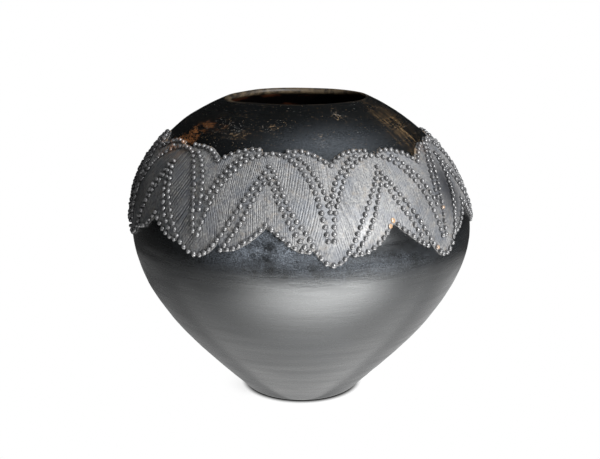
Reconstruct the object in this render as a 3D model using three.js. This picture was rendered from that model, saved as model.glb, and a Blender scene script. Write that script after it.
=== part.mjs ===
// An earthenware pot: a coil-built, burnished body with a wide belly and a small round mouth, a
// thin band of clay laid on its shoulder, and rows of small clay pellets pressed onto that band.
// Millimetres, +Z up. The origin is the middle of the flat base. The front faces -Y.

import * as THREE from 'three';

// Body
const potHeight = 261.6; // base to the top of the shoulder's outer face
const bellyRadius = 148; // widest radius of the bare wall
const bellyHeight = 152; // height of that widest line
const mouthRadius = 61; // outer face at the lip
const baseRadius = 45.5; // flat face that the pot stands on
const footRise = 3.6; // height of the rounding between base and wall
const footSlope = 46; // degrees from the floor, where the wall leaves the foot
const wallThickness = 7;
const lipThickness = 5;
const floorThickness = 9;
const bodySegments = 72;

// Fullness of the body's outline: how far its curves run on before they bend, as shares
const footFullness = 0.26; // along the straight slope above the foot, of the way out to the belly
const underBellyFullness = 0.42; // down from the widest line, of the way to the foot
const overBellyFullness = 0.22; // up from the widest line, of the way to the mouth
const shoulderWidth = 0.86; // of the way out from the mouth to the belly
const shoulderDrop = 0.3; // of the way down from the mouth to the widest line

// Band of clay laid over the shoulder
const seatGap = 0.4; // between curved faces that touch on the real pot
const bandThickness = 0.9;
const bandMargin = 3.2; // from the outermost pellets' centres to the band's edge
const bandColumns = 12; // round each figure
const bandRows = 8; // from its lower edge to its upper edge

// Pellets
const pelletWidth = 4.2;
const pelletHeight = 1.6;
const pelletPitch = 6.6;
const pelletGap = 0.5; // between two pellets that stand side by side
const threadWidth = 1.8; // the smear of clay that joins one pellet to the next
const threadHeight = 0.7;
const rowSpacing = 5.4; // between the two rows of a double row

// Pattern, measured along the wall from the widest line
const figureCount = 9;
const firstFigure = 9.5; // degrees from the front to the middle of the first figure
const swagRise = 0.5; // lowest pellets
const archRise = 88; // highest pellets of the arches
const valleyLift = 14.5; // from the swags up to the points between the arches
const peakDrop = 15; // from the arches down to the points between the swags
const upperCuspDrop = 10; // from the arches down to the notch in a leaf's top
const lowerCuspLift = 30; // from the swags up to the notch in a leaf's foot
const upperLeafReach = 0.76; // half width of a leaf, as a share of half a figure
const lowerLeafReach = 0.64;

// Fullness of the pattern's curves, as shares of half a figure across and of the curve's own rise
const archFoot = { across: 0.07, rise: 0.42 };
const archShoulder = { across: 0.22, rise: 1 };
const swagHollow = { across: 0.21, rise: 0 };
const swagRiser = { across: 0.32, rise: 0.21 };
const lobeCrown = { across: 0.55, rise: 1.18 };
const lobeNotch = { across: 0.22, rise: 0.5 };
const pointStep = 0.7; // from a leaf's first pair of pellets to its point, in pitches
const cornerStep = 0.6; // from a leaf's last pair of pellets to its corner, in pitches

const clay = new THREE.MeshStandardMaterial({ color: 0x2e3133, roughness: 0.42, metalness: 0 });
const bandClay = new THREE.MeshStandardMaterial({ color: 0x5c5f60, roughness: 0.6, metalness: 0 });
const pelletClay = new THREE.MeshStandardMaterial({ color: 0x74767a, roughness: 0.5, metalness: 0 });

const radians = THREE.MathUtils.degToRad;
const halfFigure = Math.PI / figureCount;
const halfPair = (pelletWidth + pelletGap) / 2; // from an axis to the pellets on either side of it
const lineSteps = 60; // points on each curve of the pattern

// The wall's outer face, as a curve of (radius, height) from the foot to the mouth

const footEnd = new THREE.Vector2(baseRadius + 2 * footRise / Math.tan(radians(footSlope)), footRise);
const belly = new THREE.Vector2(bellyRadius, bellyHeight);
const mouth = new THREE.Vector2(mouthRadius, potHeight);

const lowerWidth = bellyRadius - footEnd.x;
const lowerHandle = new THREE.Vector2(
  footEnd.x + footFullness * lowerWidth,
  footEnd.y + footFullness * lowerWidth * Math.tan(radians(footSlope)),
);
const underBelly = new THREE.Vector2(
  bellyRadius,
  bellyHeight - underBellyFullness * (bellyHeight - footRise),
);
const overBelly = new THREE.Vector2(
  bellyRadius,
  bellyHeight + overBellyFullness * (potHeight - bellyHeight),
);
const shoulder = new THREE.Vector2(
  mouthRadius + shoulderWidth * (bellyRadius - mouthRadius),
  potHeight - shoulderDrop * (potHeight - bellyHeight),
);

const lowerWall = new THREE.CubicBezierCurve(footEnd, lowerHandle, underBelly, belly);
const upperWall = new THREE.CubicBezierCurve(belly, overBelly, shoulder, mouth);
const wall = new THREE.CurvePath();
wall.add(lowerWall);
wall.add(upperWall);
const bellyAlong = lowerWall.getLength();
const wallLength = wall.getLength();

// Radius, height and outward direction, at a distance along the wall from the widest line
function wallAt(along) {
  const share = THREE.MathUtils.clamp((bellyAlong + along) / wallLength, 0, 1);
  const point = wall.getPoint(share);
  const up = wall.getTangent(share);
  return { point, outward: new THREE.Vector2(up.y, -up.x) };
}

// A point of the space beside the wall: turned from the front, up along the wall, and off it
function overWall(turn, along, lift) {
  const { point, outward } = wallAt(along);
  const radius = point.x + lift * outward.x;
  const height = point.y + lift * outward.y;
  return new THREE.Vector3(radius * Math.sin(turn), -radius * Math.cos(turn), height);
}

// A closed solid through loops of points, which run clockwise seen along its length. It joins its
// own end, or is closed there by two flat caps. Each side face is cut along its shorter diagonal.
function loftSolid(loops, joinsItself) {
  const count = loops[0].length;
  const points = loops.flat();
  const positions = points.flatMap((point) => point.toArray());
  const triangles = [];
  const spans = joinsItself ? loops.length : loops.length - 1;
  for (let span = 0; span < spans; span += 1) {
    const here = span * count;
    const next = ((span + 1) % loops.length) * count;
    for (let i = 0; i < count; i += 1) {
      const j = (i + 1) % count;
      const rising = points[here + i].distanceTo(points[next + j]);
      const falling = points[here + j].distanceTo(points[next + i]);
      if (rising < falling) {
        triangles.push(here + i, next + i, next + j, here + i, next + j, here + j);
      } else {
        triangles.push(here + i, next + i, here + j, here + j, next + i, next + j);
      }
    }
  }
  if (!joinsItself) {
    const last = (loops.length - 1) * count;
    for (let i = 1; i < count - 1; i += 1) {
      triangles.push(0, i, i + 1);
      triangles.push(last, last + i + 1, last + i);
    }
  }
  const geometry = new THREE.BufferGeometry();
  geometry.setAttribute('position', new THREE.Float32BufferAttribute(positions, 3));
  geometry.setIndex(triangles);
  geometry.computeVertexNormals();
  return geometry;
}

function namedMesh(name, geometry, material) {
  const mesh = new THREE.Mesh(geometry, material);
  mesh.name = name;
  return mesh;
}

// The body: base, outer wall, rounded lip, inner wall and inner floor

function innerWall() {
  const points = [];
  const steps = 9;
  for (let i = 0; i <= steps; i += 1) {
    const share = 1 - i / steps;
    const { point, outward } = wallAt(share * wallLength - bellyAlong);
    const nearLip = THREE.MathUtils.smoothstep(share, 0.8, 1);
    const thickness = THREE.MathUtils.lerp(wallThickness, lipThickness, nearLip);
    points.push(point.clone().addScaledVector(outward, -thickness));
  }
  const inside = points.filter((point) => point.y > floorThickness);
  const lowest = inside[inside.length - 1];
  const slope = Math.tan(radians(footSlope));
  inside.push(new THREE.Vector2(lowest.x - (lowest.y - floorThickness) / slope, floorThickness));
  return inside;
}

function lip() {
  const { point, outward } = wallAt(wallLength - bellyAlong);
  const middle = point.clone().addScaledVector(outward, -lipThickness / 2);
  const start = outward.angle();
  const points = [];
  const steps = 4;
  for (let i = 1; i < steps; i += 1) {
    const angle = start + Math.PI * i / steps;
    const reach = new THREE.Vector2(Math.cos(angle), Math.sin(angle));
    points.push(middle.clone().addScaledVector(reach, lipThickness / 2));
  }
  return points;
}

function body() {
  const footCorner = new THREE.Vector2(baseRadius + footRise / Math.tan(radians(footSlope)), 0);
  const base = new THREE.Vector2(baseRadius, 0);
  const foot = new THREE.QuadraticBezierCurve(base, footCorner, footEnd).getPoints(2);
  const profile = [
    new THREE.Vector2(0, 0),
    ...foot,
    ...lowerWall.getSpacedPoints(9).slice(1),
    ...upperWall.getSpacedPoints(8).slice(1),
    ...lip(),
    ...innerWall(),
    new THREE.Vector2(0, floorThickness),
  ];
  const geometry = new THREE.LatheGeometry(profile, bodySegments);
  geometry.rotateX(Math.PI / 2);
  return namedMesh('pot_body', geometry, clay);
}

// Rows are drawn on the wall as points of (turn from a figure's axis, distance along the wall).

function rowDistance(a, b) {
  const radius = wallAt((a.y + b.y) / 2).point.x;
  return Math.hypot(radius * (b.x - a.x), b.y - a.y);
}

// The turn that moves a point sideways by a distance
function turnOf(distance, along) {
  return distance / wallAt(along).point.x;
}

// Points at pelletPitch, or as near to it as fills the line evenly, ends included
function pelletsAlong(line) {
  const reached = [0];
  for (let i = 1; i < line.length; i += 1) {
    reached.push(reached[i - 1] + rowDistance(line[i - 1], line[i]));
  }
  const total = reached[reached.length - 1];
  const steps = Math.max(1, Math.round(total / pelletPitch));
  const pellets = [];
  let span = 1;
  for (let step = 0; step <= steps; step += 1) {
    const wanted = total * step / steps;
    while (span < line.length - 1 && reached[span] < wanted) {
      span += 1;
    }
    const share = (wanted - reached[span - 1]) / (reached[span] - reached[span - 1]);
    pellets.push(line[span - 1].clone().lerp(line[span], share));
  }
  return pellets;
}

// The direction from one point of a row to another, in millimetres on the wall
function heading(from, to) {
  const radius = wallAt((from.y + to.y) / 2).point.x;
  return new THREE.Vector2(radius * (to.x - from.x), to.y - from.y).normalize();
}

// A point moved by millimetres on the wall
function shifted(point, ahead, distance) {
  const turn = turnOf(distance * ahead.x, point.y);
  return new THREE.Vector2(point.x + turn, point.y + distance * ahead.y);
}

// The same line, moved sideways across the wall: to its left for +1 and its right for -1
function besideLine(line, side, distance) {
  return line.map((point, i) => {
    const ahead = heading(line[Math.max(0, i - 1)], line[Math.min(line.length - 1, i + 1)]);
    return shifted(point, new THREE.Vector2(-ahead.y, ahead.x), side * distance);
  });
}

const mirrored = (line) => line.map((point) => new THREE.Vector2(-point.x, point.y)).reverse();
const fromPeak = (line) => line.map((point) => new THREE.Vector2(halfFigure - point.x, point.y)).reverse();

// A curve from one point to another, whose handles lie at shares across a width and up its rise
function sweep(from, to, width, ...handles) {
  const [first, second] = handles.map(({ across, rise }) => new THREE.Vector2(
    from.x + across * width,
    THREE.MathUtils.lerp(from.y, to.y, rise),
  ));
  return new THREE.CubicBezierCurve(from, first, second, to).getPoints(lineSteps);
}

// Half of an arch, from beside the point of a valley up to the crown
function archLine() {
  const foot = swagRise + valleyLift;
  const from = new THREE.Vector2(turnOf(halfPair, foot), foot);
  const to = new THREE.Vector2(halfFigure, archRise);
  return sweep(from, to, halfFigure, archFoot, archShoulder);
}

// Half of a swag, from its lowest pellet up to beside the point of a peak
function swagLine() {
  const tip = archRise - peakDrop;
  const from = new THREE.Vector2(0, swagRise);
  const to = new THREE.Vector2(halfFigure - turnOf(halfPair, tip), tip);
  return sweep(from, to, halfFigure, swagHollow, swagRiser);
}

// Half of a leaf: its point on the axis, an arm out along the row that it follows, a corner, and a
// lobe from its notch out to there. side is +1 for a leaf that opens upwards, and -1 for downwards.
function leafLine(followed, side, reach, notch) {
  const arm = besideLine(followed, side, rowSpacing)
    .filter((point) => point.x >= turnOf(halfPair, point.y) && point.x <= reach * halfFigure);
  const end = arm[arm.length - 1];
  const ahead = heading(arm[arm.length - 2], end);
  const across = new THREE.Vector2(-ahead.y, ahead.x);
  const lobeEnd = shifted(end, across, side * 2 * halfPair);
  const lobe = sweep(new THREE.Vector2(0, notch), lobeEnd, lobeEnd.x, lobeNotch, lobeCrown);
  return {
    point: new THREE.Vector2(0, arm[0].y - side * pointStep * pelletPitch),
    arm,
    corner: shifted(shifted(end, across, side * halfPair), ahead, cornerStep * pelletPitch),
    lobe,
  };
}

// Pellets right round a leaf, from its point
function leafPellets(leaf) {
  const [notch, ...lobe] = pelletsAlong(leaf.lobe);
  const half = [...pelletsAlong(leaf.arm), leaf.corner, ...lobe.reverse()];
  return [leaf.point, ...half, notch, ...mirrored(half)];
}

// One row: pellets joined by a thin thread of clay, laid on the band
function pelletRow(name, pellets, axis, closed) {
  const seat = seatGap + bandThickness + seatGap;
  const section = (place, ahead, width, height) => {
    const across = new THREE.Vector2(ahead.y, -ahead.x);
    const left = shifted(place, across, -width / 2);
    const right = shifted(place, across, width / 2);
    return [
      overWall(axis + left.x, left.y, seat),
      overWall(axis + right.x, right.y, seat),
      overWall(axis + place.x, place.y, seat + height),
    ];
  };
  const count = pellets.length;
  const loops = [];
  pellets.forEach((pellet, i) => {
    const before = closed ? pellets[(i + count - 1) % count] : pellets[Math.max(0, i - 1)];
    const after = closed ? pellets[(i + 1) % count] : pellets[Math.min(count - 1, i + 1)];
    const turning = heading(before, pellet).add(heading(pellet, after)).normalize();
    loops.push(section(pellet, turning, pelletWidth, pelletHeight));
    if (after !== pellet) {
      const middle = pellet.clone().lerp(after, 0.5);
      loops.push(section(middle, heading(pellet, after), threadWidth, threadHeight));
    }
  });
  return namedMesh(name, loftSolid(loops, closed), pelletClay);
}

// How far up the wall a line lies at a turn, or nothing where it doesn't reach that turn
function riseOf(line, turn) {
  const next = line.findIndex((point, i) => i > 0 && line[i - 1].x <= turn && point.x >= turn);
  if (next < 0) {
    return [];
  }
  const from = line[next - 1];
  const to = line[next];
  return [THREE.MathUtils.mapLinear(turn, from.x, to.x, from.y, to.y)];
}

// The band: one ring of clay, whose edges keep bandMargin outside the outermost pellets
function reliefBand() {
  const margin = (line, side) => besideLine(line, side, bandMargin);
  const leafEdge = (leaf, side) => margin([...leaf.lobe, leaf.corner], side);
  const upperEdges = [leafEdge(upperLeaf, 1), margin(wholeArch, 1)];
  const lowerEdges = [leafEdge(lowerLeaf, -1), margin(fromPeak(wholeSwag), -1)];
  const columns = figureCount * bandColumns;
  const loops = [];
  for (let column = 0; column < columns; column += 1) {
    const share = (column % bandColumns) / bandColumns * 2;
    const fromValley = halfFigure * Math.min(share, 2 - share);
    const top = Math.max(...upperEdges.flatMap((line) => riseOf(line, fromValley)));
    const bottom = Math.min(...lowerEdges.flatMap((line) => riseOf(line, halfFigure - fromValley)));
    const turn = radians(firstFigure) + 2 * Math.PI * column / columns;
    const outer = [];
    const inner = [];
    for (let row = 0; row <= bandRows; row += 1) {
      const along = THREE.MathUtils.lerp(bottom, top, row / bandRows);
      outer.push(overWall(turn, along, seatGap + bandThickness));
      inner.unshift(overWall(turn, along, seatGap));
    }
    loops.push([...outer, ...inner]);
  }
  return namedMesh('relief_band', loftSolid(loops, true), bandClay);
}

const arch = archLine();
const swag = swagLine();
const pastCrown = mirrored(arch).map((point) => new THREE.Vector2(point.x + 2 * halfFigure, point.y));
const wholeArch = [...arch, ...pastCrown.slice(1)];
const wholeSwag = [...mirrored(swag), ...swag.slice(1)];
const upperLeaf = leafLine(arch, 1, upperLeafReach, archRise - upperCuspDrop);
const lowerLeaf = leafLine(fromPeak(swag), -1, lowerLeafReach, swagRise + lowerCuspLift);

const pot = new THREE.Group();
pot.add(body(), reliefBand());
for (let figure = 1; figure <= figureCount; figure += 1) {
  const valley = radians(firstFigure) + 2 * halfFigure * (figure - 1);
  const peak = valley + halfFigure;
  pot.add(
    pelletRow(`arch_row_${figure}`, pelletsAlong(wholeArch), valley, false),
    pelletRow(`swag_row_${figure}`, pelletsAlong(wholeSwag), valley, false),
    pelletRow(`upper_leaf_row_${figure}`, leafPellets(upperLeaf), valley, true),
    pelletRow(`lower_leaf_row_${figure}`, leafPellets(lowerLeaf), peak, true),
  );
}

export default pot;
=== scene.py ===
"""An earthenware pot: a burnished black body, a combed clay band on its shoulder, and rows of pellets.

Shapes are worked out in millimetres and become metres when a mesh is made. +Z is up and the front
faces -Y. A place on the wall is a turn from the front towards +X, in radians, and a distance up
along the wall from its widest line.
"""

import math

import bpy
import numpy as np
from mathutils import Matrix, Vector


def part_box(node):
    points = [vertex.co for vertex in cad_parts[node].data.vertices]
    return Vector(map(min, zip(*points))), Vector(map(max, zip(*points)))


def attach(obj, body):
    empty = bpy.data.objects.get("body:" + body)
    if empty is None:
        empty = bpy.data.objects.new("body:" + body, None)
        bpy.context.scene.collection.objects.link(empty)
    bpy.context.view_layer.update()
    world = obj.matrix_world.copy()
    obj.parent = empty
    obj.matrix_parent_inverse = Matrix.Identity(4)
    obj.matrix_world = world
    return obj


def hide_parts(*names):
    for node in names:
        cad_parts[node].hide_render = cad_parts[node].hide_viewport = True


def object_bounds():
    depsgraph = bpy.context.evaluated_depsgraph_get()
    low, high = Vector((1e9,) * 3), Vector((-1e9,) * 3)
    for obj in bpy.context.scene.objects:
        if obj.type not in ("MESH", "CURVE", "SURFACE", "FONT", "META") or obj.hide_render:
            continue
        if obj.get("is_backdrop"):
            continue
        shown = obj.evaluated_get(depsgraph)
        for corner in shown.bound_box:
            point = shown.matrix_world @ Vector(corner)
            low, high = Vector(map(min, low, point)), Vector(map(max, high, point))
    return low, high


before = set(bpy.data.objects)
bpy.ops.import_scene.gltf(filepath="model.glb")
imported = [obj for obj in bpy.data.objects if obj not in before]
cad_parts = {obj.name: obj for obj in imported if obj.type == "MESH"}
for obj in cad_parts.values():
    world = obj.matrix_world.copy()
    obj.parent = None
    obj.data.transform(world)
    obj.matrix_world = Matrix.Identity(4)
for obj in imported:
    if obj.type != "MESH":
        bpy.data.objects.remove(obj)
cad_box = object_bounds()
body_low, body_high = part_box("pot_body")

MM = 0.001
TAU = 2 * math.pi

# Body
POT_HEIGHT = 261.6
BELLY_RADIUS = body_high.x / MM
BELLY_HEIGHT = 152
MOUTH_RADIUS = 61
BASE_RADIUS = 46.3
FOOT_RISE = 3.2
FOOT_SLOPE = math.tan(math.radians(46))
WALL_THICKNESS = 7
LIP_THICKNESS = 5
FLOOR_THICKNESS = 9

# Fullness of the body's outline, as shares
FOOT_FULLNESS = 0.26
UNDER_BELLY_FULLNESS = 0.42
OVER_BELLY_FULLNESS = 0.22
SHOULDER_WIDTH = 0.86
SHOULDER_DROP = 0.3

# The pot was shaped by eye: its upper half leans to the left, less so at the mouth, and the lip is
# lower on the left and thinner on the right
LEAN = -4.6
LEAN_HEIGHTS = (130, 235)
MOUTH_RETURN = 0.6
MOUTH_HEIGHTS = (240, 262)
LIP_DROP = 1.6
THIN_LIP = 0.5

# Fineness of the body's mesh
BODY_COLUMNS = 288
WALL_STEP = 1.45
LIP_STEPS = 12
INNER_STEP = 4
BASE_RINGS = (0.3, 0.6, 0.85, 0.96)

# Band
FIGURES = range(1, 10)
FIRST_VALLEY = math.radians(9.5)
FIGURE = TAU / len(FIGURES)
BAND_THICKNESS = 1.1
TOP_MARGIN = 2.8
BOTTOM_MARGIN = 2.0
BAND_SINK = 0.8
EDGE_ROUNDING = 1.1
COLUMNS_PER_FIGURE = 320
BAND_ROWS = 96
EDGE_ROWS = (0, 0.3, 0.7, 1.2, 1.9, 2.7)
UNDER_ROWS = 7
STRIPS = {"relief_band_front": (8, 4), "relief_band_right": (3, 3), "relief_band_left": (6, 2)}

# Combed strokes, and the lines that the pellets stand on
STROKE_PITCH = 1.5
STROKE_DEPTH = 0.5
GUIDE_DEPTH = 0.4
GUIDE_WIDTH = 0.7
CREVICE_WIDTH = 0.4

# Pellets
PELLET_WIDTH = 3.75
PELLET_HEIGHT = 2.5
PELLET_PITCH = 5.25
PELLET_SIDES = 16
PELLET_RINGS = 6
PELLET_FOOT = math.radians(-28)
PELLET_SINK = 0.6

# Pellets that have broken away, and those that are chipped to the orange clay, in degrees and height
BROKEN = ((30.1, 181.7), (28.7, 178.1))
CHIPPED = ((45.9, 156.8), (54.3, 157.6), (52.4, 182))


# The wall

def bezier(points, steps):
    """Points along a cubic Bezier curve, ends included."""
    share = np.linspace(0, 1, steps)[:, None]
    rest = 1 - share
    a, b, c, d = np.array(points, float)
    return rest**3 * a + 3 * rest**2 * share * b + 3 * rest * share**2 * c + share**3 * d


def smooth_step(share):
    share = np.clip(share, 0, 1)
    return share * share * (3 - 2 * share)


def between(value, low, high):
    """0 up to the low mark, 1 from the high mark on, and smooth between them."""
    return smooth_step((value - low) / (high - low))


foot_end = (BASE_RADIUS + 2 * FOOT_RISE / FOOT_SLOPE, FOOT_RISE)
foot_corner = (BASE_RADIUS + FOOT_RISE / FOOT_SLOPE, 0)
belly = (BELLY_RADIUS, BELLY_HEIGHT)
mouth = (MOUTH_RADIUS, POT_HEIGHT)
lower_width = BELLY_RADIUS - foot_end[0]
lower_wall = bezier([
    foot_end,
    (foot_end[0] + FOOT_FULLNESS * lower_width, foot_end[1] + FOOT_FULLNESS * lower_width * FOOT_SLOPE),
    (BELLY_RADIUS, BELLY_HEIGHT - UNDER_BELLY_FULLNESS * (BELLY_HEIGHT - FOOT_RISE)),
    belly,
], 400)
upper_wall = bezier([
    belly,
    (BELLY_RADIUS, BELLY_HEIGHT + OVER_BELLY_FULLNESS * (POT_HEIGHT - BELLY_HEIGHT)),
    (MOUTH_RADIUS + SHOULDER_WIDTH * (BELLY_RADIUS - MOUTH_RADIUS),
     POT_HEIGHT - SHOULDER_DROP * (POT_HEIGHT - BELLY_HEIGHT)),
    mouth,
], 400)
wall = np.vstack([lower_wall, upper_wall[1:]])
wall_along = np.r_[0, np.cumsum(np.hypot(*np.diff(wall, axis=0).T))]
wall_along -= wall_along[len(lower_wall) - 1]
wall_slope = np.gradient(wall, wall_along, axis=0)
WALL_FOOT = wall_along[0]
WALL_TOP = wall_along[-1]


def wall_at(along):
    """Radius, height and outward direction of the bare wall."""
    radius, height = (np.interp(along, wall_along, column) for column in wall.T)
    outward, downward = (np.interp(along, wall_along, column) for column in (wall_slope[:, 1], wall_slope[:, 0]))
    return radius, height, outward, -downward


def along_of(height):
    return np.interp(height, wall[:, 1], wall_along)


def wander(turn, up, around, tall, seed):
    """Smooth noise from -1 to 1 that closes round the pot: so many swells in a round, each so tall."""
    rows = 64
    field = np.random.default_rng(seed).uniform(-1, 1, (around, rows))
    column = np.mod(turn / TAU, 1) * around
    row = up / tall + rows
    left = np.floor(column).astype(int)
    below = np.floor(row).astype(int)
    across = smooth_step(column - left)
    rise = smooth_step(row - below)
    corner = lambda i, j: field[(left + i) % around, (below + j) % rows]
    low = corner(0, 0) * (1 - across) + corner(1, 0) * across
    high = corner(0, 1) * (1 - across) + corner(1, 1) * across
    return low * (1 - rise) + high * rise


def dents(turn, along):
    """How far the hand-shaped wall lies off the true curve: broad swells, and the marks of the burnisher."""
    above_foot = smooth_step((along - WALL_FOOT) / 30)
    swells = 0.5 * wander(turn, along, 7, 70, 1) + 0.22 * wander(turn, along, 17, 24, 2)
    strokes = 0.13 * wander(turn, along, 13, 7, 3)
    return above_foot * (swells + strokes)


def place(turn, along, lift):
    """A point beside the wall, lifted off it."""
    radius, height, outward, upward = wall_at(along)
    off = lift + dents(turn, along)
    radius = radius + off * outward
    height = height + off * upward
    side = LEAN * between(height, *LEAN_HEIGHTS) + MOUTH_RETURN * between(height, *MOUTH_HEIGHTS)
    height = height - LIP_DROP * between(-np.sin(turn), 0.5, 1) * between(height, *MOUTH_HEIGHTS)
    return np.stack([radius * np.sin(turn) + side, -radius * np.cos(turn), height], axis=-1)


# Meshes

def grid_faces(rows, columns, closed):
    """Quads between the points of a grid, which are numbered along each row."""
    last = columns if closed else columns - 1
    row, column = np.meshgrid(np.arange(rows - 1), np.arange(last), indexing="ij")
    here = row * columns + column
    beside = row * columns + (column + 1) % columns
    return np.stack([here, beside, beside + columns, here + columns], -1).reshape(-1, 4)


def new_piece(name, points, faces, material, nodes, values=None, flat=0):
    """A mesh in metres that rides on the pot's body. The last `flat` faces are left unsmoothed."""
    mesh = bpy.data.meshes.new(name)
    mesh.from_pydata(np.asarray(points) * MM, [], faces)
    smooth = np.ones(len(mesh.polygons), bool)
    if flat:
        smooth[-flat:] = False
    mesh.polygons.foreach_set("use_smooth", smooth)
    for key, column in (values or {}).items():
        attribute = mesh.attributes.new(key, "FLOAT", "POINT")
        attribute.data.foreach_set("value", np.asarray(column, np.float32).ravel())
    mesh.materials.append(material)
    piece = bpy.data.objects.new(name, mesh)
    bpy.context.scene.collection.objects.link(piece)
    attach(piece, "root")
    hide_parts(*nodes)
    return piece


# Shaders

class Shader:
    """A material or lamp under construction. A socket takes a number, a colour, or another node's output."""

    def __init__(self, owner):
        owner.use_nodes = True
        self.material = owner
        self.tree = owner.node_tree
        self.tree.nodes.clear()

    def node(self, kind, inputs=None, **settings):
        node = self.tree.nodes.new(kind)
        for key, value in settings.items():
            setattr(node, key, value)
        for key, value in (inputs or {}).items():
            socket = node.inputs[key]
            if isinstance(value, bpy.types.NodeSocket):
                self.tree.links.new(value, socket)
            else:
                socket.default_value = value
        return node

    def value(self, name):
        """A number that the mesh holds at each of its points."""
        return self.node("ShaderNodeAttribute", attribute_name=name).outputs["Fac"]

    def noise(self, scale, detail=3.0, stretch=(1, 1, 1), offset=(0, 0, 0), roughness=0.5, distortion=0.0):
        """Noise in the object's own space, stretched by a scale along each axis."""
        place = self.node("ShaderNodeTexCoord").outputs["Object"]
        moved = self.node("ShaderNodeMapping", {"Vector": place, "Scale": stretch, "Location": offset})
        return self.node("ShaderNodeTexNoise", {
            "Vector": moved.outputs["Vector"], "Scale": scale, "Detail": detail,
            "Roughness": roughness, "Distortion": distortion,
        }).outputs["Fac"]

    def threads(self, around, up):
        """Noise in threads that run up the wall, by how many there are to a radian and to 100 mm of height."""
        x, y, z = self.node("ShaderNodeSeparateXYZ", {0: self.node("ShaderNodeTexCoord").outputs["Object"]}).outputs
        turn = self.math("ARCTAN2", x, y)
        place = self.node("ShaderNodeCombineXYZ", {0: self.product(turn, around), 1: self.product(z, 10 * up)})
        return self.node("ShaderNodeTexNoise", {
            "Vector": place.outputs["Vector"], "Scale": 1.0, "Detail": 3.0, "Roughness": 0.6,
        }).outputs["Fac"]

    def ramp(self, value, low, high, bottom=0.0, top=1.0):
        """Maps low..high to bottom..top, smoothly and within them."""
        return self.node("ShaderNodeMapRange", {
            "Value": value, "From Min": low, "From Max": high, "To Min": bottom, "To Max": top,
        }, interpolation_type="SMOOTHSTEP").outputs["Result"]

    def math(self, operation, *values):
        return self.node("ShaderNodeMath", dict(enumerate(values)), operation=operation).outputs["Value"]

    def product(self, *values):
        result = values[0]
        for value in values[1:]:
            result = self.math("MULTIPLY", result, value)
        return result

    def mix(self, share, first, second):
        """The colour that lies so far from the first to the second."""
        return self.node("ShaderNodeMixRGB", {"Fac": share, "Color1": first, "Color2": second}).outputs["Color"]

    def bump(self, height, strength, distance, below=None):
        inputs = {"Height": height, "Strength": strength, "Distance": distance}
        if below is not None:
            inputs["Normal"] = below
        return self.node("ShaderNodeBump", inputs).outputs["Normal"]

    def finish(self, colour, roughness, normal, **constants):
        surface = self.node("ShaderNodeBsdfPrincipled", {
            "Base Color": colour, "Roughness": roughness, "Normal": normal, **constants,
        })
        self.node("ShaderNodeOutputMaterial", {"Surface": surface.outputs["BSDF"]})
        return self.material


def grey(level, warmth=0.0):
    """A linear colour near a grey level: above nought it is warmer, below nought cooler."""
    return (level * (1 + warmth), level, level * (1 - warmth), 1)


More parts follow.
